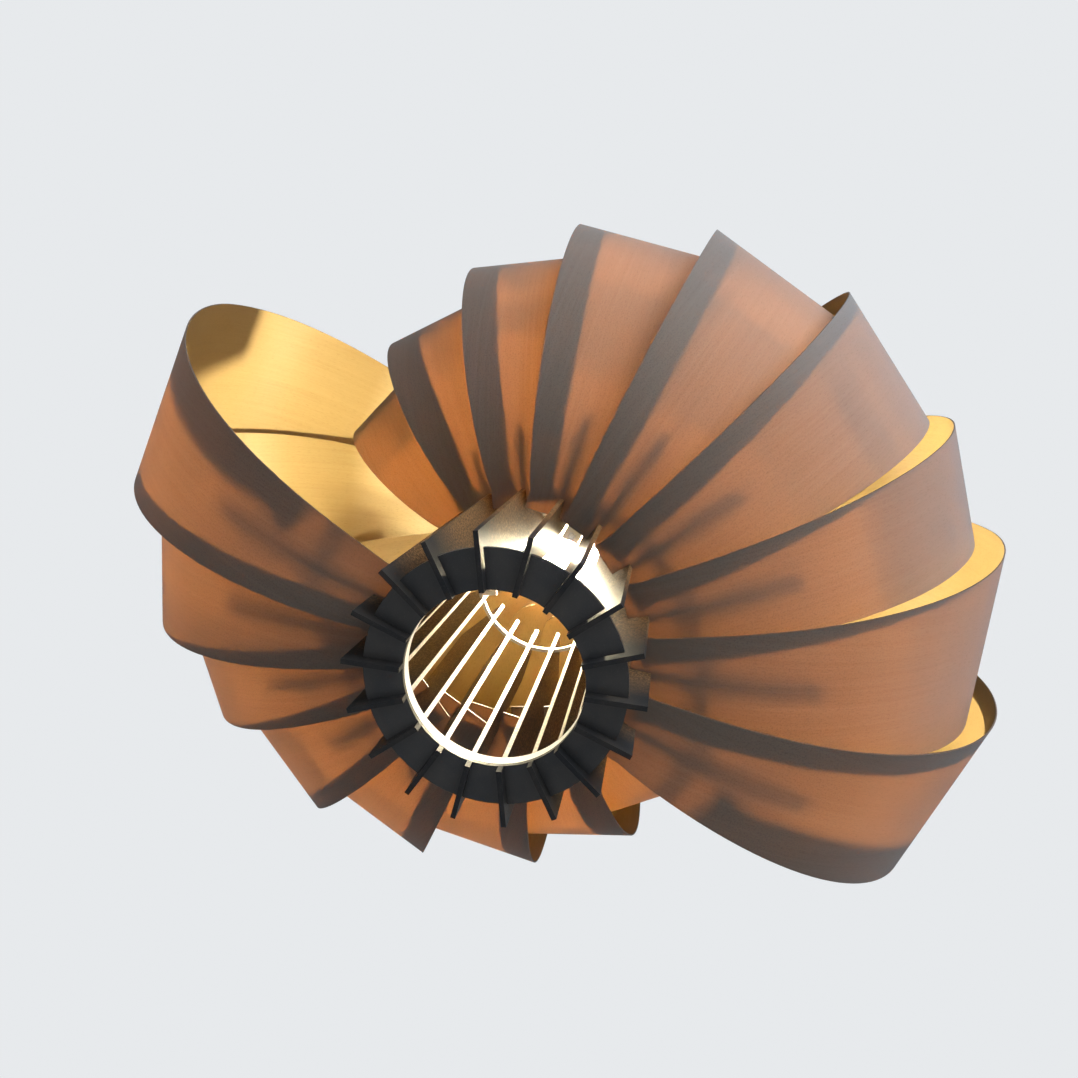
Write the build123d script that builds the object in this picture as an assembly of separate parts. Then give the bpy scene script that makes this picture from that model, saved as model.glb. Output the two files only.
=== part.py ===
from build123d import *
import math
import os

os.makedirs("parts", exist_ok=True)

# Ring pendant light: two arms of nested veneer loops on a drum of radial fins, round one lamp.
# Heights below are measured up from the fins' lower edges. The finished nodes are moved down
# so that the origin lies at the mouth of the cord gland, where the light hangs.
# Three-value sizes run from the largest loop to the smallest: (first, last, bulge between).

# Pattern
arm_count = 2
loops_per_arm = 9
first_azimuth = 140.0

# Fins of the hub
fin_thickness = 3.0
fin_inner_radius = 53.0
fin_outer_radius = 88.0
fin_margin_above_loop = 30.0
fin_margin_above_ring = 36.5
joint_clearance = 0.15

# Rings that hold the fins
ring_thickness = 3.0
lower_ring_height = 7.0
lower_ring_radius = 77.0
lower_ring_lap_radius = 65.0
collar_height = 8.0
collar_wall = 2.5
upper_ring_height = 206.0
upper_ring_depth = 3.5
upper_ring_wall = 2.8
lug_width = 13.0
lug_end_margin = 4.5

# Veneer loops
petal_thickness = 1.0
petal_hub_lap = 6.5
petal_hub_tail = 6.5
petal_hub_half_width = 23.0
petal_foot_height = (34.0, 186.0, -6.0)
petal_foot_slope = (-6.0, 10.0, -5.0)
petal_foot_pull = (185.0, 50.0, 0.0)
petal_reach = (370.0, 212.0, 7.0)
petal_tip_height = 303.0
petal_tip_pull_down = (97.0, 70.0, 0.0)
petal_tip_pull_up = (153.0, 78.0, 0.0)
petal_half_width = (72.0, 58.0, -8.0)
petal_width_trim = {2: 4.0, 3: -15.0, 5: 3.0, 6: 6.0, 9: -6.0}
petal_top_height = (382.9, 318.3, -3.7)
petal_top_slope = (27.5, 7.5, 3.5)
petal_top_pull = (160.0, 64.0, 0.0)
petal_top_half_width = 16.5
petal_lower_fullness = 0.88
petal_upper_fullness = 0.45
petal_sections = 11

# Crown that carries the loops' top ends
crown_fin_inner_radius = 49.0
crown_fin_outer_radius = 64.0
crown_foot_margin = 16.0
crown_foot_rise = 8.0
crown_ring_below_carrier = 20.0
crown_ring_inner_radius = 41.0
crown_ring_radius = 60.0
crown_lap_radius = 54.5
crown_petal_lap = 4.5
crown_petal_tail = 5.0
crown_fin_overhang = 4.0
carrier_height = 409.0

# Rods and nuts that hang the hub from the carrier plate
rod_count = 3
rod_first_azimuth = 50.0
rod_circle_radius = 46.0
rod_radius = 1.5
rod_hole_radius = 1.7
rod_end = 7.0
nut_across_flats = 5.5
nut_thickness = 2.4
nut_bore_clearance = 0.05

# Lampholder
holder_thread_radius = 19.7
holder_skirt_inner_radius = 17.5
holder_skirt_length = 29.0
holder_shoulder_radius = 23.5
holder_shoulder_height = 4.0
holder_neck_height = 8.0
holder_neck_wall = 2.2
holder_cap_height = 28.0
holder_cap_top_radius = 12.0
holder_cap_wall = 2.2
holder_rim_chamfer = 0.6
running_gap = 0.3
seat_gap = 0.1
ring_washer_thickness = 1.0
shade_ring_radius = 28.0
shade_ring_height = 9.0
shade_ring_grip_count = 24
shade_ring_grip_radius = 1.2

# Inside of the lampholder
block_recess = 5.0
block_crown_height = 9.0
shell_radius = 13.6
shell_wall = 0.35
terminal_offset = 8.0
terminal_radius = 2.6
terminal_height = 2.0
terminal_slot_width = 0.8
terminal_slot_depth = 0.9
tongue_width = 6.0
tongue_thickness = 0.6

# Cord gland
gland_bore_radius = 3.4
gland_spigot_radius = 5.0
gland_spigot_length = 10.0
gland_flange_across_flats = 14.0
gland_flange_height = 4.0
gland_barrel_radius = 5.6
gland_barrel_height = 8.0
gland_seal_depth = 4.0
gland_seal_wall = 1.1
gland_nut_radius = 8.6
gland_nut_roof = 2.0
gland_washer_thickness = 1.0
locknut_thickness = 3.0

# Lamp
bulb_radius = 30.0
bulb_length = 110.0
bulb_cap_length = 27.0
bulb_cap_radius = 13.1
bulb_cap_wall = 0.4
bulb_thread_pitch = 3.63
bulb_thread_depth = 0.8
bulb_thread_turns = 4
bulb_neck_radius = 12.0
bulb_glass_wall = 1.0
bulb_glass_overlap = 6.0
bulb_insulator_height = 5.0
bulb_contact_radius = 4.5
bulb_contact_height = 1.0
emitter_radius = 5.5
emitter_length = 12.0
emitter_above_globe_centre = 9.0
emitter_stem_radius = 2.5

half_turn = 180.0
fin_count = arm_count * loops_per_arm
fin_pitch = 2 * half_turn / fin_count
upper_ring_top = upper_ring_height + upper_ring_depth
fin_inner_height = upper_ring_top + fin_margin_above_ring
fin_outer_height = max(petal_foot_height[:2]) + fin_margin_above_loop
crown_ring_height = carrier_height - crown_ring_below_carrier
carrier_top = carrier_height + ring_thickness
holder_rim_height = carrier_top - holder_skirt_length
holder_cap_foot = carrier_top + holder_shoulder_height
holder_cap_top = holder_cap_foot + holder_cap_height
gland_mouth_height = holder_cap_top + gland_flange_height + gland_barrel_height
block_foot = holder_rim_height + block_recess
block_shelf = block_foot + bulb_cap_length
block_top = block_shelf + block_crown_height
bulb_contact_top = block_shelf - tongue_thickness - seat_gap


def graded(sizes, number):
    """One loop's share of a size that runs from the arm's first loop to its last."""
    first, last, bulge = sizes
    share = ((number - 1) % loops_per_arm) / (loops_per_arm - 1)
    return first * (1 - share) + last * share + 4 * bulge * share * (1 - share)


def azimuth(number):
    """Fins and loops are numbered together, from the largest loop of the first arm."""
    return first_azimuth - (number - 1) * fin_pitch


def turned(shape, number):
    """A piece drawn in the X-Z plane, turned to its own fin's azimuth."""
    return Rot(0, 0, azimuth(number)) * shape


def save(name, *solids):
    """Write one node, moved so that the gland's mouth is the origin."""
    moved = [Pos(0, 0, -gland_mouth_height) * solid for solid in solids]
    node = moved[0] if len(moved) == 1 else Compound(children=moved)
    export_step(node, f"parts/{name}.step")


def tube(outer, inner, foot, top):
    """A ring or tube about the light's axis."""
    body = Cylinder(outer, top - foot, align=(Align.CENTER, Align.CENTER, Align.MIN))
    hole = Cylinder(inner, top - foot, align=(Align.CENTER, Align.CENTER, Align.MIN))
    return Pos(0, 0, foot) * (body - hole)


def turned_profile(*points):
    """A body of revolution about Z from its half section, given as (radius, height) points."""
    outline = Polyline(*[(radius, 0, height) for radius, height in points], close=True)
    return revolve(make_face(outline), Axis.Z)


def hexagon(across_flats, bore, foot, top):
    """A hexagonal nut or flange about the light's axis."""
    corner = across_flats / 2 / math.cos(math.radians(30))
    body = extrude(RegularPolygon(corner, 6), top - foot)
    hole = Cylinder(bore, top - foot, align=(Align.CENTER, Align.CENTER, Align.MIN))
    return Pos(0, 0, foot) * (body - hole)


def slope_box(radius, height, slope, length, width, depth):
    """A box in the X-Z plane whose long side starts at a point and climbs outwards."""
    box = Box(length, width, depth, align=(Align.MIN, Align.CENTER, Align.CENTER))
    return Pos(radius, 0, height) * Rot(0, -slope, 0) * box


def unit(degrees):
    return math.cos(math.radians(degrees)), math.sin(math.radians(degrees))


def bezier(points, share):
    """A point and a direction on a cubic curve with four control points."""
    rest = 1 - share
    weights = (rest ** 3, 3 * rest ** 2 * share, 3 * rest * share ** 2, share ** 3)
    place = [sum(w * p[axis] for w, p in zip(weights, points)) for axis in (0, 1)]
    steps = [[b[axis] - a[axis] for axis in (0, 1)] for a, b in zip(points, points[1:])]
    speeds = (rest ** 2, 2 * rest * share, share ** 2)
    slope = [sum(w * s[axis] for w, s in zip(speeds, steps)) for axis in (0, 1)]
    return place, math.degrees(math.atan2(slope[1], slope[0]))


# Loops: each leaves its fin, swings out and up, and comes back over the top to the crown.

def petal_curves(number):
    """The lower and the upper half of a loop's side view, as cubic control points."""
    foot = (fin_outer_radius, graded(petal_foot_height, number))
    foot_run, foot_rise = unit(graded(petal_foot_slope, number))
    foot_pull = graded(petal_foot_pull, number)
    tip = (graded(petal_reach, number), petal_tip_height)
    top = (crown_fin_outer_radius, graded(petal_top_height, number))
    top_run, top_rise = unit(graded(petal_top_slope, number))
    top_pull = graded(petal_top_pull, number)
    lower = (
        foot,
        (foot[0] + foot_pull * foot_run, foot[1] + foot_pull * foot_rise),
        (tip[0], tip[1] - graded(petal_tip_pull_down, number)),
        tip,
    )
    upper = (
        tip,
        (tip[0], tip[1] + graded(petal_tip_pull_up, number)),
        (top[0] + top_pull * top_run, top[1] + top_pull * top_rise),
        top,
    )
    return lower, upper


def petal_widest(number):
    rank = (number - 1) % loops_per_arm + 1
    return graded(petal_half_width, number) + petal_width_trim.get(rank, 0.0)


def petal_section(place, heading, half_width):
    """The strip's cross-section, square to its run."""
    run, rise = unit(heading)
    plane = Plane((place[0], 0, place[1]), x_dir=(0, 1, 0), z_dir=(run, 0, rise))
    return plane * Rectangle(2 * half_width, petal_thickness)


def petal_half(curve, end_half_width, number, fullness, outwards):
    """Half a loop, from its narrow end to the widest place at the tip."""
    widest = petal_widest(number)
    sections = []
    for step in range(petal_sections):
        share = step / (petal_sections - 1)
        place, heading = bezier(curve, share)
        bloom = math.sin(math.pi / 2 * (share if outwards else 1 - share)) ** fullness
        half_width = end_half_width + (widest - end_half_width) * bloom
        sections.append(petal_section(place, heading, half_width))
    return loft(sections)


def petal(number):
    """One veneer loop, slit at both ends to slide onto its fins."""
    lower, upper = petal_curves(number)
    foot_slope = graded(petal_foot_slope, number)
    top_slope = graded(petal_top_slope, number)
    foot_length = (petal_hub_lap + petal_hub_tail) / unit(foot_slope)[0]
    top_length = (crown_petal_lap + crown_petal_tail) / unit(top_slope)[0]
    foot_tail = slope_box(
        *lower[0], foot_slope + half_turn, foot_length, 2 * petal_hub_half_width, petal_thickness
    )
    top_tail = slope_box(
        *upper[3], top_slope + half_turn, top_length, 2 * petal_top_half_width, petal_thickness
    )
    body = petal_half(lower, petal_hub_half_width, number, petal_lower_fullness, True)
    body += petal_half(upper, petal_top_half_width, number, petal_upper_fullness, False)
    body = body + foot_tail + top_tail
    slit_width = fin_thickness + 2 * joint_clearance
    slit_height = 4 * petal_thickness
    for end, slope, length, lap in (
        (lower[0], foot_slope, foot_length, petal_hub_lap),
        (upper[3], top_slope, top_length, crown_petal_lap),
    ):
        run, rise = unit(slope)
        start = (end[0] - length * run, end[1] - length * rise)
        slit = length - lap / run + joint_clearance
        body -= slope_box(*start, slope, slit, slit_width, slit_height)
    return body


for number in range(1, fin_count + 1):
    save(f"petal_{number:02d}", turned(petal(number), number))


# Hub fins: each has a slot at its own height for its loop, and notches for the rings.

def plate(points):
    """A flat plate of fin thickness, from its outline in the X-Z plane."""
    outline = Polyline(*[(radius, 0, height) for radius, height in points], close=True)
    return extrude(make_face(outline), fin_thickness / 2, dir=(0, 1, 0), both=True)


def notch(radius_from, radius_to, foot, top):
    """A cut from a fin's edge."""
    corner = (Align.MIN, Align.CENTER, Align.MIN)
    box = Box(radius_to - radius_from, 2 * fin_thickness, top - foot, align=corner)
    return Pos(radius_from, 0, foot) * box


def petal_slot(outer_radius, height, slope, lap):
    """The slot that a loop's end slides into, cut along the loop's own slope."""
    run, rise = unit(slope)
    reach = 2 * lap
    start = (outer_radius - lap - joint_clearance, height - (lap + joint_clearance) * rise / run)
    slot_height = petal_thickness + 2 * joint_clearance
    return slope_box(*start, slope, reach / run, 2 * fin_thickness, slot_height)


collar_foot = lower_ring_height + ring_thickness
collar_top = collar_foot + collar_height
collar_outer_radius = fin_inner_radius + collar_wall + joint_clearance
upper_ring_outer_radius = fin_inner_radius + upper_ring_wall + joint_clearance


def hub_fin(number):
    blank = plate(
        (
            (fin_inner_radius, 0),
            (fin_outer_radius, 0),
            (fin_outer_radius, fin_outer_height),
            (fin_inner_radius, fin_inner_height),
        )
    )
    edge = fin_inner_radius - fin_thickness
    ring_foot = lower_ring_height - joint_clearance
    blank -= notch(edge, lower_ring_lap_radius + joint_clearance, ring_foot, collar_foot + joint_clearance)
    blank -= notch(edge, collar_outer_radius + joint_clearance, ring_foot, collar_top + joint_clearance)
    blank -= notch(
        edge,
        upper_ring_outer_radius + joint_clearance,
        upper_ring_height - joint_clearance,
        upper_ring_top + joint_clearance,
    )
    height = graded(petal_foot_height, number)
    slope = graded(petal_foot_slope, number)
    return blank - petal_slot(fin_outer_radius, height, slope, petal_hub_lap)


for number in range(1, fin_count + 1):
    save(f"fin_{number:02d}", turned(hub_fin(number), number))


def fin_slots(lap_radius, outer_radius, foot):
    """The slots round a ring's rim that the fins slide through."""
    reach = outer_radius - lap_radius + fin_thickness
    corner = (Align.MIN, Align.CENTER, Align.MIN)
    width = fin_thickness + 2 * joint_clearance
    cutter = Pos(lap_radius, 0, foot - 1) * Box(reach, width, ring_thickness + 2, align=corner)
    return [turned(cutter, number) for number in range(1, fin_count + 1)]


lower_ring = tube(lower_ring_radius, fin_inner_radius, lower_ring_height, collar_foot)
save("lower_ring", lower_ring - fin_slots(lower_ring_lap_radius, lower_ring_radius, lower_ring_height))

collar = tube(collar_outer_radius, collar_outer_radius - collar_wall, collar_foot, collar_top)
save("inner_collar", collar)


def rod_places():
    """Where the hanging rods stand, between fins."""
    return [
        Rot(0, 0, rod_first_azimuth + 2 * half_turn * index / rod_count) * Pos(rod_circle_radius, 0, 0)
        for index in range(rod_count)
    ]


upper_ring_inner_radius = upper_ring_outer_radius - upper_ring_wall
upper_ring = tube(upper_ring_outer_radius, upper_ring_inner_radius, upper_ring_height, upper_ring_top)
lug_length = upper_ring_inner_radius - rod_circle_radius + lug_end_margin + upper_ring_wall / 2
for place in rod_places():
    corner = (Align.MIN, Align.CENTER, Align.MIN)
    lug = Pos(-lug_end_margin, 0, upper_ring_height) * Box(lug_length, lug_width, ring_thickness, align=corner)
    upper_ring += place * lug
for place in rod_places():
    hole = Cylinder(rod_hole_radius, 4 * ring_thickness)
    upper_ring -= place * Pos(0, 0, upper_ring_height) * hole
save("upper_ring", upper_ring)


# Crown: fins that reach down to their own loops from two slotted plates round the lampholder.

def crown_fin(number):
    height = graded(petal_top_height, number)
    slope = graded(petal_top_slope, number)
    foot = height - crown_foot_margin
    top = carrier_top + crown_fin_overhang
    shoulder = crown_ring_radius - crown_lap_radius
    blank = plate(
        (
            (crown_fin_inner_radius, foot),
            (crown_fin_outer_radius - shoulder, foot),
            (crown_fin_outer_radius, foot + crown_foot_rise),
            (crown_fin_outer_radius, top),
            (crown_fin_inner_radius, top),
        )
    )
    edge = crown_fin_inner_radius - fin_thickness
    for plate_foot in (crown_ring_height, carrier_height):
        blank -= notch(
            edge,
            crown_lap_radius + joint_clearance,
            plate_foot - joint_clearance,
            plate_foot + ring_thickness + joint_clearance,
        )
    return blank - petal_slot(crown_fin_outer_radius, height, slope, crown_petal_lap)


save("crown_fins", *[turned(crown_fin(number), number) for number in range(1, fin_count + 1)])


def crown_plate(inner_radius, foot):
    """A slotted disc with a centre hole and the rods' holes."""
    disc = tube(crown_ring_radius, inner_radius, foot, foot + ring_thickness)
    disc -= fin_slots(crown_lap_radius, crown_ring_radius, foot)
    for place in rod_places():
        disc -= place * Pos(0, 0, foot) * Cylinder(rod_hole_radius, 4 * ring_thickness)
    return disc


save("crown_ring", crown_plate(crown_ring_inner_radius, crown_ring_height))
save("carrier_plate", crown_plate(holder_thread_radius + running_gap, carrier_height))

rod_foot = upper_ring_height - rod_end
rod_top = carrier_top + rod_end
rod = Pos(0, 0, rod_foot) * Cylinder(
    rod_radius, rod_top - rod_foot, align=(Align.CENTER, Align.CENTER, Align.MIN)
)
save("hanging_rods", *[place * rod for place in rod_places()])

nut_feet = []
for foot in (upper_ring_height, crown_ring_height, carrier_height):
    nut_feet += [foot - nut_thickness, foot + ring_thickness]
rod_nuts = []
for place in rod_places():
    for foot in nut_feet:
        nut = hexagon(nut_across_flats, rod_radius + nut_bore_clearance, foot, foot + nut_thickness)
        rod_nuts.append(place * nut)
save("rod_nuts", *rod_nuts)


# Lampholder: a threaded skirt hangs in the carrier plate by its shoulder.

neck_outer = holder_skirt_inner_radius + holder_neck_wall
skirt = turned_profile(
    (holder_skirt_inner_radius, holder_rim_height),
    (holder_thread_radius - holder_rim_chamfer, holder_rim_height),
    (holder_thread_radius, holder_rim_height + holder_rim_chamfer),
    (holder_thread_radius, carrier_top),
    (holder_shoulder_radius, carrier_top),
    (holder_shoulder_radius, holder_cap_foot),
    (neck_outer, holder_cap_foot),
    (neck_outer, holder_cap_foot + holder_neck_height),
    (holder_skirt_inner_radius, holder_cap_foot + holder_neck_height),
)
save("holder_skirt", skirt)

cap_round = holder_shoulder_radius - holder_cap_top_radius
cap_side = holder_cap_top - cap_round
inner_round = cap_round - holder_cap_wall / 2
cap_inner = neck_outer + joint_clearance
cap_hole = gland_spigot_radius + joint_clearance
holder_cap = turned_profile(
    (cap_inner, holder_cap_foot),
    (holder_shoulder_radius, holder_cap_foot),
    (holder_shoulder_radius, cap_side),
    (holder_cap_top_radius, holder_cap_top),
    (cap_hole, holder_cap_top),
    (cap_hole, holder_cap_top - holder_cap_wall),
    (cap_inner - inner_round, holder_cap_top - holder_cap_wall),
    (cap_inner, cap_side - holder_cap_wall / 2),
)
save("holder_cap", holder_cap)

block_radius = holder_skirt_inner_radius - joint_clearance
shell_outer_radius = shell_radius + shell_wall
block = tube(block_radius, shell_outer_radius + seat_gap, block_foot, block_shelf)
block += tube(block_radius, tongue_width / 3, block_shelf, block_top)
save("insulator_block", block)

# The brass pieces: the screw shell, the tongue over the lamp's contact, and two terminal screws.
shell = tube(shell_outer_radius, shell_radius, block_foot, block_shelf - 2 * tongue_thickness)
tongue_length = 2 * (shell_radius - running_gap)
tongue = Pos(0, 0, block_shelf - tongue_thickness / 2) * Box(tongue_length, tongue_width, tongue_thickness)
brass = [shell, tongue]
for side in (-1, 1):
    head = Cylinder(terminal_radius, terminal_height, align=(Align.CENTER, Align.CENTER, Align.MIN))
    slot = Pos(0, 0, terminal_height) * Box(
        2 * terminal_radius, terminal_slot_width, 2 * terminal_slot_depth
    )
    brass.append(Pos(side * terminal_offset, 0, block_top) * (head - slot))
save("holder_contacts", *brass)

washer_top = carrier_height - seat_gap
washer_foot = washer_top - ring_washer_thickness
washer_inner = holder_thread_radius + running_gap
save("shade_washer", tube(shade_ring_radius - ring_washer_thickness, washer_inner, washer_foot, washer_top))

shade_ring_top = washer_foot - seat_gap
shade_ring = tube(shade_ring_radius, washer_inner, shade_ring_top - shade_ring_height, shade_ring_top)
for index in range(shade_ring_grip_count):
    groove = Pos(shade_ring_radius, 0, shade_ring_top - shade_ring_height / 2) * Cylinder(
        shade_ring_grip_radius, 2 * shade_ring_height
    )
    shade_ring -= Rot(0, 0, 2 * half_turn * index / shade_ring_grip_count) * groove
save("shade_ring", shade_ring)


# Cord gland on top of the lampholder, where the light is hung.

flange_top = holder_cap_top + gland_flange_height
spigot_foot = holder_cap_top - gland_spigot_length
seal_radius = gland_bore_radius + gland_seal_wall
seal_foot = gland_mouth_height - gland_seal_depth
gland = tube(gland_spigot_radius, gland_bore_radius, spigot_foot, holder_cap_top)
gland += hexagon(gland_flange_across_flats, gland_bore_radius, holder_cap_top, flange_top)
gland += tube(gland_barrel_radius, gland_bore_radius, flange_top, gland_mouth_height)
gland -= tube(seal_radius + joint_clearance, gland_bore_radius / 2, seal_foot, gland_mouth_height + 1)
save("gland_body", gland)
save("gland_seal", tube(seal_radius, gland_bore_radius, seal_foot, gland_mouth_height))

locknut_top = holder_cap_top - holder_cap_wall
locknut_bore = gland_spigot_radius + nut_bore_clearance
save(
    "gland_locknut",
    hexagon(gland_flange_across_flats, locknut_bore, locknut_top - locknut_thickness, locknut_top),
)

gland_washer_foot = gland_mouth_height + seat_gap
gland_washer_top = gland_washer_foot + gland_washer_thickness
save(
    "gland_washer",
    tube(gland_barrel_radius, gland_bore_radius + seat_gap, gland_washer_foot, gland_washer_top),
)

roof_foot = gland_washer_top + seat_gap
nut_inner = gland_barrel_radius + running_gap
gland_nut = turned_profile(
    (nut_inner, flange_top + running_gap),
    (gland_nut_radius, flange_top + running_gap),
    (gland_nut_radius, roof_foot),
    (gland_nut_radius - gland_nut_roof, roof_foot + gland_nut_roof),
    (gland_bore_radius + running_gap, roof_foot + gland_nut_roof),
    (gland_bore_radius + running_gap, roof_foot),
    (nut_inner, roof_foot),
)
save("gland_nut", gland_nut)


# Lamp: a clear globe on a screw cap, contact upwards, with a small bright source on a stem.

cap_foot = bulb_contact_top - bulb_cap_length
insulator_foot = bulb_contact_top - bulb_contact_height - bulb_insulator_height
sleeve_top = cap_foot + bulb_glass_overlap
thread_foot = sleeve_top + bulb_cap_wall + bulb_thread_pitch / 2
cap_outline = [
    (bulb_cap_radius - bulb_cap_wall, cap_foot),
    (bulb_cap_radius, cap_foot),
    (bulb_cap_radius, sleeve_top),
]
for turn in range(bulb_thread_turns):
    height = thread_foot + turn * bulb_thread_pitch
    cap_outline.append((bulb_cap_radius - bulb_thread_depth, height - bulb_thread_pitch / 2))
    cap_outline.append((bulb_cap_radius, height))
cap_outline.append((bulb_cap_radius - bulb_thread_depth, insulator_foot))
inner_wall = bulb_cap_radius - bulb_thread_depth - bulb_cap_wall
cap_outline.append((inner_wall, insulator_foot))
cap_outline.append((inner_wall, sleeve_top))
cap_outline.append((bulb_cap_radius - bulb_cap_wall, sleeve_top))
save("bulb_cap", turned_profile(*cap_outline))

insulator_top = bulb_contact_top - bulb_contact_height
save(
    "bulb_insulator",
    turned_profile(
        (0, insulator_foot),
        (bulb_cap_radius - bulb_thread_depth, insulator_foot),
        (bulb_contact_radius, insulator_top),
        (0, insulator_top),
    ),
)
save(
    "bulb_contact",
    Pos(0, 0, insulator_top) * Cylinder(
        bulb_contact_radius, bulb_contact_height, align=(Align.CENTER, Align.CENTER, Align.MIN)
    ),
)

globe_centre = bulb_contact_top - bulb_length + bulb_radius
neck_top = sleeve_top - seat_gap


def globe(radius, neck_radius, top):
    """A pear-shaped solid: a sphere at the bottom and a neck that blends into it."""
    touch = math.radians(35)
    shoulder = (radius * math.cos(touch), globe_centre + radius * math.sin(touch))
    bottom = (0, globe_centre - radius)
    side = (radius * math.cos(-math.pi / 8), globe_centre + radius * math.sin(-math.pi / 8))
    belly = ThreePointArc((bottom[0], 0, bottom[1]), (side[0], 0, side[1]), (shoulder[0], 0, shoulder[1]))
    throat = Spline(
        (shoulder[0], 0, shoulder[1]),
        (neck_radius, 0, cap_foot - bulb_glass_overlap / 2),
        tangents=((-math.sin(touch), 0, math.cos(touch)), (0, 0, 1)),
    )
    lip = Polyline(
        (neck_radius, 0, cap_foot - bulb_glass_overlap / 2),
        (neck_radius, 0, top),
        (0, 0, top),
        (0, 0, bottom[1]),
    )
    return revolve(make_face([belly, throat, lip]), Axis.Z)


glass = globe(bulb_radius, bulb_neck_radius, neck_top)
glass -= globe(bulb_radius - bulb_glass_wall, bulb_neck_radius - bulb_glass_wall, neck_top)
save("bulb_glass", glass)

emitter_foot = globe_centre + emitter_above_globe_centre - emitter_length / 2
emitter = turned_profile(
    (0, emitter_foot),
    (emitter_radius, emitter_foot),
    (emitter_radius, emitter_foot + emitter_length),
    (emitter_stem_radius, emitter_foot + emitter_length),
    (emitter_stem_radius, sleeve_top),
    (inner_wall - seat_gap, sleeve_top),
    (inner_wall - seat_gap, insulator_foot),
    (0, insulator_foot),
)
save("bulb_emitter", emitter)
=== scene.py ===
import math

import bpy
from mathutils import Matrix, Vector


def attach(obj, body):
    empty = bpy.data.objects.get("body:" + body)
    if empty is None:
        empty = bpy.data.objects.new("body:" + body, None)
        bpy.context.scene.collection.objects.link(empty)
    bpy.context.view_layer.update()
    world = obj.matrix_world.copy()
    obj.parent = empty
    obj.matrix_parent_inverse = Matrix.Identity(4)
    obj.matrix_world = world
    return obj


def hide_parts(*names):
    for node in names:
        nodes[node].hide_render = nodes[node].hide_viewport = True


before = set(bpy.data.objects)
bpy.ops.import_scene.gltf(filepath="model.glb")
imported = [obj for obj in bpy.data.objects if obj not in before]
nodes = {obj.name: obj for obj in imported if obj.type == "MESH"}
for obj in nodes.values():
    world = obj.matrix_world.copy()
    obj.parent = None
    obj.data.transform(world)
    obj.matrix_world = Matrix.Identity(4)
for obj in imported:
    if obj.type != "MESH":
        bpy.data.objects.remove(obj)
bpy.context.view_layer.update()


# Hub. Eighteen thin fins stand upright round an open hole. They slide into the slots of a flat ring
# near their feet, and a slim ring holds them near their tops. They are cut from board, black and
# satin at the feet. Higher up they carry painted warm lamplight, and their inner edges are pale,
# partly as bare board and partly as a painted highlight of the lamp's glare.

def finish(name):
    """A new material with an empty node tree."""
    material = bpy.data.materials.new(name)
    material.use_nodes = True
    material.node_tree.nodes.clear()
    return material


def add(material, kind, inputs=(), **settings):
    """One shader node. Inputs are (socket, value) pairs; a value that is a socket is linked."""
    tree = material.node_tree
    step = tree.nodes.new("ShaderNode" + kind)
    for key, value in settings.items():
        setattr(step, key, value)
    for key, value in inputs:
        if isinstance(value, bpy.types.NodeSocket):
            tree.links.new(value, step.inputs[key])
        else:
            step.inputs[key].default_value = value
    return step


def reckon(material, operation, first, second=0.0):
    """A sum of two numbers or sockets."""
    step = add(material, "Math", ((0, first), (1, second)), operation=operation)
    return step.outputs[0]


def tint(material, share, first, second):
    """Two colours blended by a share."""
    step = add(material, "Mix", ((0, share), (6, first), (7, second)), data_type="RGBA")
    return step.outputs[2]


def graph(material, value, low, high, to_low=0.0, to_high=1.0):
    """A number moved from one range to another, held at its ends."""
    ends = (("From Min", low), ("From Max", high), ("To Min", to_low), ("To Max", to_high))
    return add(material, "MapRange", (("Value", value), *ends)).outputs[0]


def speckle(material, place, scale, detail=3.0, rough=0.55):
    """Fine or broad cloudy variation, from 0 to 1."""
    settings = (("Scale", scale), ("Detail", detail), ("Roughness", rough))
    return add(material, "TexNoise", (("Vector", place), *settings)).outputs[0]


def surface(material, colour, roughness, bump=None, strength=0.2, depth=0.0003, **fixed):
    """The finished surface, with its relief. Other settings are the shader's own, by name."""
    inputs = [("Base Color", colour), ("Roughness", roughness)]
    if bump is not None:
        relief = add(material, "Bump", (("Strength", strength), ("Distance", depth), ("Height", bump)))
        inputs.append(("Normal", relief.outputs[0]))
    step = add(material, "BsdfPrincipled", inputs)
    for key, value in fixed.items():
        step.inputs[key.replace("_", " ").title().replace("Ior", "IOR")].default_value = value
    return step.outputs[0]


def seal(material, shader):
    """Ends the node tree."""
    add(material, "OutputMaterial", (("Surface", shader),))
    return material


def dress(names, material, edge=0.0):
    """Gives CAD nodes their finish, and eases their sharp edges."""
    for name in names:
        piece = nodes[name]
        piece.data.materials.clear()
        piece.data.materials.append(material)
        if edge:
            ease = piece.modifiers.new("eased_edges", "BEVEL")
            ease.width = edge
            ease.segments = 2
            ease.limit_method = "ANGLE"
            ease.angle_limit = math.radians(35)


fin_names = [f"fin_{number:02d}" for number in range(1, 19)]
board_edge = 0.0003
board_black = (0.017, 0.019, 0.022, 1)
board_worn = (0.034, 0.032, 0.031, 1)
board_dust = (0.085, 0.078, 0.072, 1)
dust_share = 0.3
board_roughness = (0.36, 0.52)
board_relief = 0.0002
lacquer_gloss = 0.3
fin_board_gloss = 0.05
# painted warm lamplight on the fins, brown and flecked, grows in between these heights
fin_light_from_height = -0.444
fin_light_to_height = -0.395
painted_fin_light_dark = (0.075, 0.044, 0.022, 1)
painted_fin_light_pale = (0.270, 0.150, 0.065, 1)
# pale inner fin edges: partly bare board, partly a painted highlight of the lamp's glare
bare_and_glare_board = (0.74, 0.69, 0.60, 1)
bare_and_glare_dull = (0.52, 0.48, 0.41, 1)
bare_and_glare_radius = 0.0534
bare_and_glare_above = -0.4385


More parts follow.
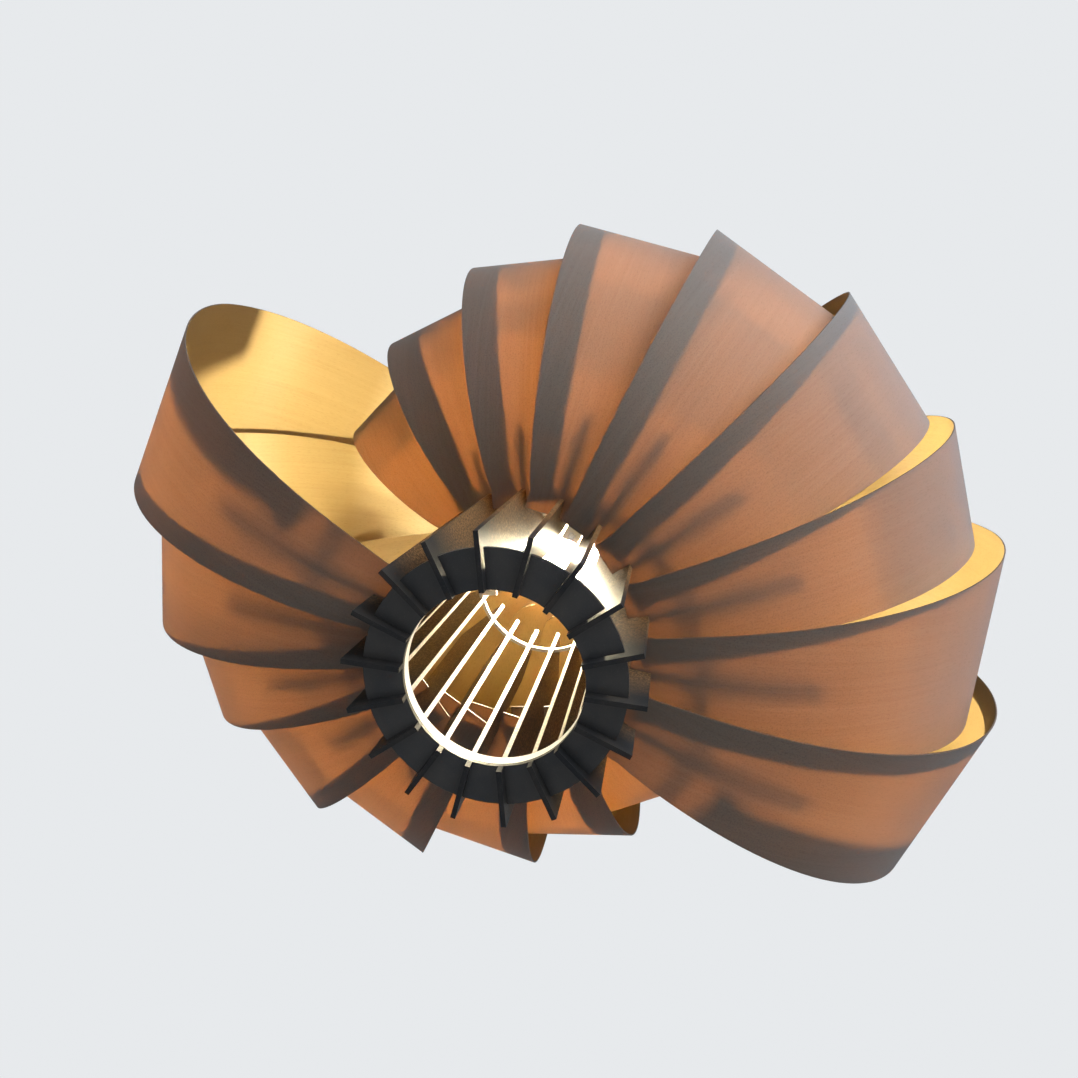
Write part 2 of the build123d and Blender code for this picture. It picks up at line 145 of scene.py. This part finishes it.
def black_finish(name, fin_light_and_bare_edges):
    """Satin black board. On the fins, painted warm lamplight higher up, and pale inner edges: partly
    bare board, partly a painted highlight of the lamp's glare.
    """
    board = finish(name)
    place = add(board, "TexCoord").outputs["Object"]
    fibre = speckle(board, place, 900.0, 4.0, 0.65)
    cloud = speckle(board, place, 45.0, 2.0)
    colour = tint(board, graph(board, cloud, 0.35, 0.75), board_black, board_worn)
    colour = tint(board, graph(board, fibre, 0.55, 0.8, 0.0, dust_share), colour, board_dust)
    if fin_light_and_bare_edges:
        spot = add(board, "SeparateXYZ", (("Vector", place),)).outputs
        # painted warm lamplight on the fins higher up, brown with flecks
        higher = graph(board, spot["Z"], fin_light_from_height, fin_light_to_height)
        flecks = graph(board, speckle(board, place, 700.0, 3.0, 0.7), 0.44, 0.66)
        painted_light_mark = tint(board, flecks, painted_fin_light_dark, painted_fin_light_pale)
        colour = tint(board, higher, colour, painted_light_mark)
        # pale inner edges above the collar: partly bare board, partly a painted highlight of the
        # lamp's glare
        x_squared = reckon(board, "POWER", spot["X"], 2)
        y_squared = reckon(board, "POWER", spot["Y"], 2)
        from_axis = reckon(board, "ADD", x_squared, y_squared)
        inside = reckon(board, "LESS_THAN", from_axis, bare_and_glare_radius**2)
        above = reckon(board, "GREATER_THAN", spot["Z"], bare_and_glare_above)
        dull = graph(board, speckle(board, place, 420.0, 3.0, 0.7), 0.42, 0.62)
        bare_and_glare = tint(board, dull, bare_and_glare_board, bare_and_glare_dull)
        colour = tint(board, reckon(board, "MULTIPLY", inside, above), colour, bare_and_glare)
    rough = graph(board, fibre, 0.2, 0.8, *board_roughness)
    gloss = fin_board_gloss if fin_light_and_bare_edges else lacquer_gloss
    face = surface(board, colour, rough, fibre, 0.2, board_relief, specular_ior_level=gloss)
    return seal(board, face)


fin_board = black_finish("fin_board", True)
black_board = black_finish("black_board", False)
dress(fin_names, fin_board, board_edge)
dress(["lower_ring"], black_board, board_edge)


# White rings. A narrow collar lines the hole just above the slotted ring, and a slim band holds the
# fins together near their tops. Both are white-lacquered, and bright from the lamp.

white_dull = (0.86, 0.85, 0.82, 1)
white_clean = (0.93, 0.92, 0.90, 1)
white_roughness = (0.32, 0.42)
white_relief = 0.00015

white_lacquer = finish("white_lacquer")
white_place = add(white_lacquer, "TexCoord").outputs["Object"]
white_cloud = speckle(white_lacquer, white_place, 60.0)
white_grain = speckle(white_lacquer, white_place, 1400.0, 2.0)
white_share = graph(white_lacquer, white_cloud, 0.3, 0.7)
white_colour = tint(white_lacquer, white_share, white_dull, white_clean)
white_rough = graph(white_lacquer, white_cloud, 0.3, 0.7, *white_roughness)
white_face = surface(white_lacquer, white_colour, white_rough, white_grain, 0.15, white_relief)
seal(white_lacquer, white_face)
dress(["inner_collar", "upper_ring"], white_lacquer, board_edge)


# Crown. Eighteen short fins between a slotted ring and a slotted plate take the loops' top ends.
# They are cut from the same black board. Three threaded steel rods with nuts go down from the
# plate and carry the hub.

dress(["crown_fins", "crown_ring", "carrier_plate"], black_board, board_edge)

rod_pitch = 0.0007
thread_relief = 0.0002
zinc_grey = (0.55, 0.56, 0.57, 1)
zinc_bright = (0.72, 0.72, 0.70, 1)
zinc_roughness = (0.25, 0.4)

zinc_steel = finish("zinc_steel")
zinc_place = add(zinc_steel, "TexCoord").outputs["Object"]
zinc_height = add(zinc_steel, "SeparateXYZ", (("Vector", zinc_place),)).outputs["Z"]
zinc_turns = reckon(zinc_steel, "MULTIPLY", zinc_height, 2 * math.pi / rod_pitch)
zinc_thread = reckon(zinc_steel, "SINE", zinc_turns)
zinc_cloud = speckle(zinc_steel, zinc_place, 500.0)
zinc_colour = tint(zinc_steel, graph(zinc_steel, zinc_cloud, 0.3, 0.7), zinc_grey, zinc_bright)
zinc_rough = graph(zinc_steel, zinc_cloud, 0.3, 0.7, *zinc_roughness)
zinc_face = surface(
    zinc_steel, zinc_colour, zinc_rough, zinc_thread, 0.5, thread_relief, metallic=1.0
)
seal(zinc_steel, zinc_face)
dress(["hanging_rods"], zinc_steel)


def mottled(
    name,
    scale,
    dark,
    pale,
    roughness,
    strength=0.1,
    depth=0.0001,
    tones=(0.3, 0.7),
    sheen=(0.3, 0.7),
    **fixed,
):
    """A finish whose colour, roughness and relief vary in spots of one size."""
    material = finish(name)
    place = add(material, "TexCoord").outputs["Object"]
    spots = speckle(material, place, scale)
    colour = tint(material, graph(material, spots, *tones), dark, pale)
    rough = graph(material, spots, *sheen, *roughness)
    return seal(material, surface(material, colour, rough, spots, strength, depth, **fixed))


nut_zinc = mottled(
    "nut_zinc", 1500.0, (0.58, 0.59, 0.60, 1), (0.74, 0.73, 0.70, 1), (0.22, 0.42), 0.2, metallic=1.0
)
dress(["rod_nuts", "gland_locknut"], nut_zinc, 0.0002)


# Lampholder. A black moulded skirt hangs in the carrier plate by its shoulder, under a domed cap,
# and a moulded ring screws up the skirt from below. Inside sit a glazed block and brass contacts.

moulded_dark = (0.018, 0.018, 0.020, 1)
moulded_pale = (0.036, 0.035, 0.036, 1)
moulded_roughness = (0.28, 0.42)
moulded_names = ["holder_skirt", "holder_cap", "shade_ring", "shade_washer", "gland_body", "gland_nut"]

moulded_black = finish("moulded_black")
moulded_place = add(moulded_black, "TexCoord").outputs["Object"]
moulded_grain = speckle(moulded_black, moulded_place, 1800.0, 2.0)
moulded_cloud = speckle(moulded_black, moulded_place, 80.0)
moulded_share = graph(moulded_black, moulded_cloud, 0.3, 0.7)
moulded_colour = tint(moulded_black, moulded_share, moulded_dark, moulded_pale)
moulded_rough = graph(moulded_black, moulded_grain, 0.2, 0.8, *moulded_roughness)
moulded_face = surface(moulded_black, moulded_colour, moulded_rough, moulded_grain, 0.2, 0.0001)
seal(moulded_black, moulded_face)
dress(moulded_names, moulded_black, 0.0003)

glazed_block = mottled(
    "glazed_block",
    150.0,
    (0.82, 0.80, 0.74, 1),
    (0.92, 0.91, 0.88, 1),
    (0.12, 0.25),
    depth=0.0003,
    sheen=(0.2, 0.8),
)
dress(["insulator_block"], glazed_block, 0.0002)

plain_brass = mottled(
    "plain_brass", 300.0, (0.70, 0.50, 0.20, 1), (0.86, 0.68, 0.34, 1), (0.22, 0.38), metallic=1.0
)
dress(["holder_contacts", "gland_washer"], plain_brass)

seal_rubber = mottled(
    "seal_rubber",
    2000.0,
    (0.025, 0.025, 0.025, 1),
    (0.06, 0.058, 0.055, 1),
    (0.7, 0.9),
    strength=0.3,
    tones=(0.0, 1.0),
    sheen=(0.2, 0.8),
)
dress(["gland_seal"], seal_rubber)


# Loops. Each is one strip of wood veneer a millimetre thick, slit at both ends and slid onto a hub
# fin and a crown fin, so that it springs out and up and back over the top. The light shines
# through it: the grain runs along the strip, and the knife has left its edges dark.

fin_pitch = math.radians(20)
first_azimuth = math.radians(140)
loops_per_arm = 9
feet_height = -0.456
foot_radius = 0.088
foot_tail = 0.013
foot_lap = 0.0065
foot_half_width = 0.023
top_radius = 0.064
top_tail = 0.0095
top_lap = 0.0045
top_half_width = 0.0165
tip_height = 0.303
veneer_thickness = 0.001
slit_half_width = 0.00165
width_trims = {2: 0.004, 3: -0.015, 5: 0.003, 6: 0.006, 9: -0.006}
lower_fullness = 0.88
upper_fullness = 0.45
rows_per_half = 44
columns_per_side = (0.0, 0.3, 0.6, 0.85, 1.0)
# per loop, the share of painted cool blue-grey light and painted dimmer glow on its far parts
cool_light_by_loop = {1: 0.8, 2: 1.0, 3: 1.0, 4: 0.9, 5: 0.55, 6: 0.45, 7: 0.2}

# each of these runs from an arm's largest loop to its smallest, with a bulge between them
foot_slopes = (-6, 10, -5)
foot_heights = (0.034, 0.186, -0.006)
foot_pulls = (0.185, 0.050, 0)
tip_reaches = (0.370, 0.212, 0.007)
tip_pulls_below = (0.097, 0.070, 0)
tip_pulls_above = (0.153, 0.078, 0)
top_slopes = (27.5, 7.5, 3.5)
top_heights = (0.3829, 0.3183, -0.0037)
top_pulls = (0.160, 0.064, 0)
tip_half_widths = (0.072, 0.058, -0.008)


def graded(sizes, share):
    """A size at a share of the way along the arm."""
    first, last, bulge = sizes
    return first * (1 - share) + last * share + 4 * bulge * share * (1 - share)


def on_curve(points, share):
    """A point and a heading on a cubic curve in the strip's side view."""
    rest = 1 - share
    weights = (rest**3, 3 * rest**2 * share, 3 * rest * share**2, share**3)
    place = sum((w * p for w, p in zip(weights, points)), Vector((0, 0)))
    speeds = (rest**2, 2 * rest * share, share**2)
    steps = zip(speeds, points, points[1:])
    heading = sum((s * (b - a) for s, a, b in steps), Vector((0, 0)))
    return place, heading.normalized()


def strip_rows(share, rank):
    """The strip from hub end to crown end: place, heading, half width, and whether it is slit."""
    foot_slope = math.radians(graded(foot_slopes, share))
    foot_run = Vector((math.cos(foot_slope), math.sin(foot_slope)))
    foot = Vector((foot_radius, graded(foot_heights, share)))
    tip = Vector((graded(tip_reaches, share), tip_height))
    top_slope = math.radians(graded(top_slopes, share))
    top_run = Vector((math.cos(top_slope), math.sin(top_slope)))
    top = Vector((top_radius, graded(top_heights, share)))
    widest = graded(tip_half_widths, share) + width_trims.get(rank, 0.0)
    below = Vector((0, graded(tip_pulls_below, share)))
    above = Vector((0, graded(tip_pulls_above, share)))
    lower = (foot, foot + foot_run * graded(foot_pulls, share), tip - below, tip)
    upper = (tip, tip + above, top + top_run * graded(top_pulls, share), top)
    rows = []
    foot_length = foot_tail / foot_run.x
    slit_end = foot_lap / foot_run.x
    for step in (foot_length, 0.5 * (foot_length + slit_end), slit_end, 0.5 * slit_end):
        rows.append((foot - foot_run * step, foot_run, foot_half_width, step > slit_end * 1.01))
    for row in range(rows_per_half):
        at = row / rows_per_half
        place, heading = on_curve(lower, at)
        bloom = math.sin(math.pi / 2 * at) ** lower_fullness
        rows.append((place, heading, foot_half_width + (widest - foot_half_width) * bloom, False))
    for row in range(rows_per_half + 1):
        at = row / rows_per_half
        place, heading = on_curve(upper, at)
        bloom = math.sin(math.pi / 2 * (1 - at)) ** upper_fullness
        rows.append((place, heading, top_half_width + (widest - top_half_width) * bloom, False))
    top_length = top_tail / top_run.x
    slit_start = top_lap / top_run.x
    for step in (0.5 * slit_start, slit_start, 0.5 * (slit_start + top_length), top_length):
        rows.append((top - top_run * step, -top_run, top_half_width, False))
    # a row's slit runs to the next row, so the crown slit opens on the rows before its end
    rows[-3] = rows[-3][:3] + (True,)
    rows[-2] = rows[-2][:3] + (True,)
    return rows


def veneer_strip(number):
    """One loop as a closed mesh: two broad faces, and thin walls along every free edge."""
    rank = (number - 1) % loops_per_arm
    share = rank / (loops_per_arm - 1)
    azimuth = first_azimuth - (number - 1) * fin_pitch
    outwards = Vector((math.cos(azimuth), math.sin(azimuth), 0))
    across = Vector((-math.sin(azimuth), math.cos(azimuth), 0))
    rows = strip_rows(share, rank + 1)
    # the grain starts at another place of the log on each strip
    start, aside = 0.37 * number, 0.21 * number
    run = start
    points, grain, hub_runs = [], [], []
    for index, (place, heading, half_width, _) in enumerate(rows):
        if index:
            run += (place - rows[index - 1][0]).length
        normal = Vector((heading.y, -heading.x))
        free = half_width - slit_half_width
        offsets = [slit_half_width + free * column for column in columns_per_side]
        for offset in [-o for o in reversed(offsets)] + offsets:
            for side in (0.5, -0.5):
                at = place + normal * side * veneer_thickness
                points.append(outwards * at.x + across * offset + Vector((0, 0, at.y + feet_height)))
                grain.append((run, offset + aside))
                hub_runs.append((run - start, index / (len(rows) - 1)))
    # each loop carries its share of painted cool light and dimmer glow
    painted_cool_light = [(cool_light_by_loop.get(number, 0.0), 0.0)] * len(points)

    column_count = 2 * len(columns_per_side)
    middle = column_count // 2 - 1

    def corner(row, column, side):
        return 2 * (row * column_count + column) + side

    cells = {
        (row, column)
        for row in range(len(rows) - 1)
        for column in range(column_count - 1)
        if not (rows[row][3] and column == middle)
    }
    faces, walls = [], []
    for row, column in sorted(cells):
        ring = [(row, column), (row, column + 1), (row + 1, column + 1), (row + 1, column)]
        faces.append([corner(*spot, 0) for spot in ring])
        faces.append([corner(*spot, 1) for spot in reversed(ring)])
        beyond = [(row, column - 1), (row - 1, column), (row, column + 1), (row + 1, column)]
        ends = [(ring[3], ring[0]), (ring[0], ring[1]), (ring[1], ring[2]), (ring[2], ring[3])]
        for cell, (first, second) in zip(beyond, ends):
            if cell not in cells:
                wall = [corner(*first, 0), corner(*second, 0), corner(*second, 1), corner(*first, 1)]
                walls.append(wall[::-1])
    mesh = bpy.data.meshes.new(f"veneer_loop_{number:02d}")
    mesh.from_pydata(points, [], faces + walls)
    for skin in (veneer_outside, veneer_inside, veneer_edge):
        mesh.materials.append(skin)
    for polygon in mesh.polygons:
        polygon.use_smooth = True
        polygon.material_index = polygon.index % 2 if polygon.index < len(faces) else 2
    for layer_name, places in (("grain", grain), ("hub_run", hub_runs), ("painted_cool_light", painted_cool_light)):
        layer = mesh.uv_layers.new(name=layer_name)
        for loop in mesh.loops:
            layer.data[loop.index].uv = places[loop.vertex_index]
    mesh.update()
    mesh.set_sharp_from_angle(angle=math.radians(40))
    piece = bpy.data.objects.new(f"veneer_loop_{number:02d}", mesh)
    bpy.context.scene.collection.objects.link(piece)
    return piece


# lengths are metres from the hub; the two crown limits are shares of the strip's rows, over which
# painted lamplight pales the inside faces
soak_share = 0.42
# painted shade: the outside faces darken towards the hub, fading out in between these lengths
hub_shade_from = 0.015
hub_shade_to = 0.22
# painted cool blue-grey light and painted dimmer lamplight on the outside faces grow in between these
# lengths
cool_light_from = 0.14
cool_light_to = 0.33
# painted lamplight: the inside faces turn pale yellow towards the crown, in between these shares
crown_lamplight_from = 0.74
crown_lamplight_to = 0.90
glow_pale = (0.60, 0.370, 0.185, 1)
glow_dark = (0.53, 0.305, 0.140, 1)
glow_cloud = (0.63, 0.400, 0.220, 1)
# the darker glow through the pores, and through the painted shade near the hub
pore_and_shade_glow = (0.15, 0.075, 0.035, 1)
painted_dim_glow = (0.17, 0.125, 0.095, 1)
painted_cool_wood = (0.34, 0.385, 0.440, 1)
painted_crown_lamplight = (0.93, 0.80, 0.50, 1)
veneer_roughness = (0.46, 0.60)
veneer_relief = 0.0002


def veneer_finish(name, pale, dark, pore_and_shade_colour, gloss, outside):
    """One face of the strip: grain along it, faint clouds, pores, light that soaks through, and
    painted light and shade.
    """
    veneer = finish(name)

    def carried(layer):
        """The coordinates that each strip carries from end to end."""
        return add(veneer, "UVMap", uv_map=layer).outputs[0]

    def along_grain(along, across):
        return add(veneer, "Mapping", (("Vector", place), ("Scale", (along, across, 1.0)))).outputs[0]

    def both(first, second):
        return reckon(veneer, "MULTIPLY", first, second)

    place = carried("grain")
    hub_place = add(veneer, "SeparateXYZ", (("Vector", carried("hub_run")),)).outputs
    painted_cool_light = add(veneer, "SeparateXYZ", (("Vector", carried("painted_cool_light")),)).outputs["X"]
    lines = speckle(veneer, along_grain(5.0, 330.0), 1.0, 5.0, 0.62)
    bands = speckle(veneer, along_grain(2.2, 30.0), 1.0, 3.0, 0.5)
    pores = speckle(veneer, along_grain(190.0, 2600.0), 1.0, 2.0, 0.5)
    clouds = speckle(veneer, place, 13.0, 5.0, 0.62)
    wood = tint(veneer, graph(veneer, lines, 0.25, 0.75), dark, pale)
    wood = tint(veneer, graph(veneer, bands, 0.35, 0.75, 0.0, 0.30), wood, dark)
    wood = tint(veneer, graph(veneer, clouds, 0.40, 0.68, 0.0, 0.35), wood, pale)
    glow = tint(veneer, graph(veneer, lines, 0.25, 0.75), glow_dark, glow_pale)
    glow = tint(veneer, graph(veneer, bands, 0.35, 0.75, 0.0, 0.25), glow, glow_dark)
    glow = tint(veneer, graph(veneer, clouds, 0.36, 0.70, 0.0, 0.55), glow, glow_cloud)
    if outside:
        # painted cool blue-grey light, and painted dimmer lamplight through the veneer, on the far
        # parts of some loops
        cool_light_share = both(graph(veneer, hub_place["X"], cool_light_from, cool_light_to), painted_cool_light)
        cool_light_share = both(cool_light_share, graph(veneer, clouds, 0.25, 0.65, 1.0, 0.75))
        # painted shade near the hub on the outside face: darker wood and glow, with dark specks
        hub_shade_share = graph(veneer, hub_place["X"], hub_shade_from, hub_shade_to, 1.0, 0.0)
        painted_light_mark = both(hub_shade_share, graph(veneer, clouds, 0.2, 0.7, 0.75, 1.0))
        hub_shade_specks = graph(veneer, speckle(veneer, place, 900.0, 2.0, 0.6), 0.50, 0.66)
        wood = tint(veneer, both(cool_light_share, 0.8), wood, painted_cool_wood)
        wood = tint(veneer, both(painted_light_mark, 0.5), wood, pore_and_shade_colour)
        glow = tint(veneer, cool_light_share, glow, painted_dim_glow)
        glow = tint(veneer, painted_light_mark, glow, pore_and_shade_glow)
        glow = tint(veneer, both(hub_shade_specks, hub_shade_share), glow, pore_and_shade_glow)
    else:
        # painted lamplight: the inside faces turn pale yellow towards the crown
        crown_lamplight_share = graph(veneer, hub_place["Y"], crown_lamplight_from, crown_lamplight_to)
        wood = tint(veneer, crown_lamplight_share, wood, painted_crown_lamplight)
    wood = tint(veneer, graph(veneer, pores, 0.56, 0.75, 0.0, 0.40), wood, pore_and_shade_colour)
    glow = tint(veneer, graph(veneer, pores, 0.56, 0.75, 0.0, 0.30), glow, pore_and_shade_glow)
    rough = graph(veneer, lines, 0.3, 0.7, *veneer_roughness)
    face = surface(veneer, wood, rough, lines, 0.15, veneer_relief, specular_ior_level=gloss)
    through = add(veneer, "BsdfTranslucent", (("Color", glow),)).outputs[0]
    soaked = add(veneer, "MixShader", ((0, soak_share), (1, face), (2, through)))
    return seal(veneer, soaked.outputs[0])


# two faces of one veneer: the inside's yellow-brown is the wood's colour, the outside's grey is
# painted cool light
veneer_inside = veneer_finish(
    "veneer_inside",
    pale=(0.275, 0.205, 0.088, 1),
    dark=(0.225, 0.162, 0.066, 1),
    pore_and_shade_colour=(0.12, 0.075, 0.028, 1),
    gloss=0.15,
    outside=False,
)
veneer_outside = veneer_finish(
    "veneer_outside",
    pale=(0.240, 0.222, 0.200, 1),
    dark=(0.175, 0.158, 0.140, 1),
    pore_and_shade_colour=(0.09, 0.070, 0.054, 1),
    gloss=0.12,
    outside=True,
)
veneer_edge = mottled(
    "veneer_edge", 400.0, (0.030, 0.020, 0.014, 1), (0.10, 0.060, 0.035, 1), (0.55, 0.7), 0.2, 0.0003
)

for number in range(1, 19):
    loop = veneer_strip(number)
    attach(loop, "frame")
    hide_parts(f"petal_{number:02d}")


# Lamp. A clear glass globe on a nickel screw cap, with a small bright source on a stem inside it.
# It screws up into the holder, and its light makes the shadows and glow on the loops, along with the
# painted light and shade in the veneer's colours.

lamp_glass = mottled(
    "lamp_glass",
    120.0,
    (0.95, 0.93, 0.88, 1),
    (1.0, 0.98, 0.94, 1),
    (0.03, 0.08),
    strength=0.05,
    tones=(0.0, 1.0),
    alpha=0.12,
)
dress(["bulb_glass"], lamp_glass)

cap_nickel = mottled(
    "cap_nickel", 400.0, (0.62, 0.60, 0.57, 1), (0.80, 0.79, 0.76, 1), (0.16, 0.32), metallic=1.0
)
dress(["bulb_cap", "bulb_contact"], cap_nickel)

cap_glass = mottled(
    "cap_glass",
    300.0,
    (0.012, 0.012, 0.014, 1),
    (0.035, 0.034, 0.036, 1),
    (0.1, 0.25),
    tones=(0.0, 1.0),
    sheen=(0.2, 0.8),
)
dress(["bulb_insulator"], cap_glass, 0.0002)

source_foot = -0.1187
source_top = -0.1067
source_radius = 0.0055
source_round = 0.0022
round_steps = 4
stem_radius = 0.0025
stem_waist = 0.0017
sleeve_top = -0.0627
stem_disc_radius = 0.0115
stem_disc_top = -0.0478
lamp_warmth = (1.0, 0.86, 0.58, 1)
lamp_strength = 25000.0


def turned(name, profile, material, sides=32):
    """A closed body of revolution from (radius, height) points that start and end on the axis."""
    points, faces = [], []
    for radius, height in profile[1:-1]:
        for side in range(sides):
            angle = 2 * math.pi * side / sides
            points.append((radius * math.cos(angle), radius * math.sin(angle), height))
    rows = len(profile) - 2
    for row in range(rows - 1):
        for side in range(sides):
            after = (side + 1) % sides
            low, high = row * sides, (row + 1) * sides
            faces.append((low + side, low + after, high + after, high + side))
    foot, top = len(points), len(points) + 1
    points += [(0, 0, profile[0][1]), (0, 0, profile[-1][1])]
    last_row = (rows - 1) * sides
    for side in range(sides):
        after = (side + 1) % sides
        faces.append((foot, after, side))
        faces.append((top, last_row + side, last_row + after))
    mesh = bpy.data.meshes.new(name)
    mesh.from_pydata(points, [], faces)
    mesh.materials.append(material)
    for polygon in mesh.polygons:
        polygon.use_smooth = True
    mesh.update()
    mesh.set_sharp_from_angle(angle=math.radians(35))
    piece = bpy.data.objects.new(name, mesh)
    bpy.context.scene.collection.objects.link(piece)
    return piece


lamp_source = finish("lamp_source")
source_place = add(lamp_source, "TexCoord").outputs["Object"]
source_grain = speckle(lamp_source, source_place, 900.0)
source_colour = tint(lamp_source, source_grain, (0.85, 0.76, 0.55, 1), (0.95, 0.88, 0.70, 1))
source_rough = graph(lamp_source, source_grain, 0.2, 0.8, 0.4, 0.6)
source_face = surface(
    lamp_source,
    source_colour,
    source_rough,
    emission_color=lamp_warmth,
    emission_strength=lamp_strength,
)
seal(lamp_source, source_face)

source_profile = [(0, source_foot)]
for step in range(round_steps + 1):
    angle = math.pi / 2 * step / round_steps
    inwards = source_round * (1 - math.sin(angle))
    upwards = source_round * (1 - math.cos(angle))
    source_profile.append((source_radius - inwards, source_foot + upwards))
source_ends = source_foot + source_top
source_profile += [(radius, source_ends - height) for radius, height in reversed(source_profile)]
bright_source = turned("bright_source", source_profile, lamp_source)

stem_glass = mottled(
    "stem_glass", 500.0, (0.60, 0.60, 0.58, 1), (0.82, 0.82, 0.80, 1), (0.10, 0.22), depth=0.0003
)
stem_profile = [
    (0, source_top),
    (stem_radius, source_top),
    (stem_radius, source_top + 0.004),
    (stem_waist, source_top + 0.007),
    (stem_waist, sleeve_top - 0.014),
    (stem_radius, sleeve_top - 0.008),
    (stem_radius, sleeve_top - 0.0005),
    (stem_disc_radius - 0.001, sleeve_top),
    (stem_disc_radius, sleeve_top + 0.001),
    (stem_disc_radius, stem_disc_top),
    (0, stem_disc_top),
]
source_stem = turned("source_stem", stem_profile, stem_glass)
for piece in (bright_source, source_stem):
    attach(piece, "bulb")
    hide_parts("bulb_emitter")


# Studio. A plain pale floor far below the hanging light, plain soft light from the sides, and the
# camera below the light, looking up into the hub as the photograph does. Floor and surroundings
# look pale by their own colour and give no more light to the object.

studio_floor_size = 16
studio_floor_height = -1.5
backdrop_colour = (0.80, 0.82, 0.84, 1)
backdrop_share = 0.8
seen_rays = ("Is Glossy Ray", "Is Transmission Ray")

bpy.ops.mesh.primitive_plane_add(size=studio_floor_size, location=(0, 0, studio_floor_height))
studio_floor = bpy.context.object
studio_floor.name = "studio_floor"
floor_paint = finish("floor_paint")
floor_place = add(floor_paint, "TexCoord").outputs["Object"]
floor_cloud = speckle(floor_paint, floor_place, 3.0)
floor_colour = tint(floor_paint, floor_cloud, (0.74, 0.75, 0.76, 1), (0.80, 0.80, 0.80, 1))
floor_rough = graph(floor_paint, floor_cloud, 0.3, 0.7, 0.6, 0.75)
floor_face = surface(floor_paint, floor_colour, floor_rough)
floor_path = add(floor_paint, "LightPath").outputs
floor_seen = floor_path["Is Camera Ray"]
for ray in seen_rays:
    floor_seen = reckon(floor_paint, "MAXIMUM", floor_seen, floor_path[ray])
floor_share = reckon(floor_paint, "MULTIPLY", floor_seen, backdrop_share)
floor_pale = add(floor_paint, "Emission", (("Color", backdrop_colour), ("Strength", 1.0))).outputs[0]
floor_mix = add(floor_paint, "MixShader", ((0, floor_share), (1, floor_face), (2, floor_pale)))
seal(floor_paint, floor_mix.outputs[0])
studio_floor.data.materials.append(floor_paint)

surroundings = bpy.data.worlds.new("surroundings")
surroundings.use_nodes = True
surroundings.node_tree.nodes.clear()
bpy.context.scene.world = surroundings
sky_light = add(surroundings, "Background", (("Color", (0.86, 0.94, 1.0, 1)), ("Strength", 0.12)))
sky_pale = add(surroundings, "Background", (("Color", backdrop_colour), ("Strength", 1.0)))
sky_path = add(surroundings, "LightPath").outputs
sky_seen = sky_path["Is Camera Ray"]
for ray in seen_rays:
    sky_seen = reckon(surroundings, "MAXIMUM", sky_seen, sky_path[ray])
sky_mix = add(
    surroundings, "MixShader", ((0, sky_seen), (1, sky_light.outputs[0]), (2, sky_pale.outputs[0]))
)
add(surroundings, "OutputWorld", (("Surface", sky_mix.outputs[0]),))

lamps_aim = Vector((0, 0, -0.2))


def soft_light(name, place, size, power):
    """A large soft lamp that faces the light's middle."""
    lamp = bpy.data.lights.new(name, "AREA")
    lamp.size = size
    lamp.energy = power
    holder = bpy.data.objects.new(name, lamp)
    holder.location = place
    aim = lamps_aim - Vector(place)
    holder.rotation_euler = aim.to_track_quat("-Z", "Y").to_euler()
    bpy.context.scene.collection.objects.link(holder)


soft_light("studio_left", (0.7, -1.7, -0.7), 1.6, 1.0)
soft_light("studio_right", (0.9, 1.9, -0.5), 1.6, 65.0)
soft_light("studio_top", (0.3, 0.2, 1.6), 1.8, 8.0)

camera_place = Vector((0.12320, 0.16409, -0.88297))
camera_right = Vector((-0.409081, 0.897845, 0.162875))
camera_ahead = Vector((-0.130850, -0.234368, 0.963302))
camera_lens = 27.868

eye = bpy.data.cameras.new("camera")
eye.sensor_width = 36.0
eye.lens = camera_lens
camera = bpy.data.objects.new("camera", eye)
camera_up = camera_right.cross(camera_ahead).normalized()
camera_side = camera_ahead.cross(camera_up).normalized()
turn = Matrix((camera_side, camera_up, -camera_ahead.normalized())).transposed().to_4x4()
camera.matrix_world = Matrix.Translation(camera_place) @ turn
bpy.context.scene.collection.objects.link(camera)
bpy.context.scene.camera = camera

bpy.context.scene.view_settings.view_transform = "Standard"
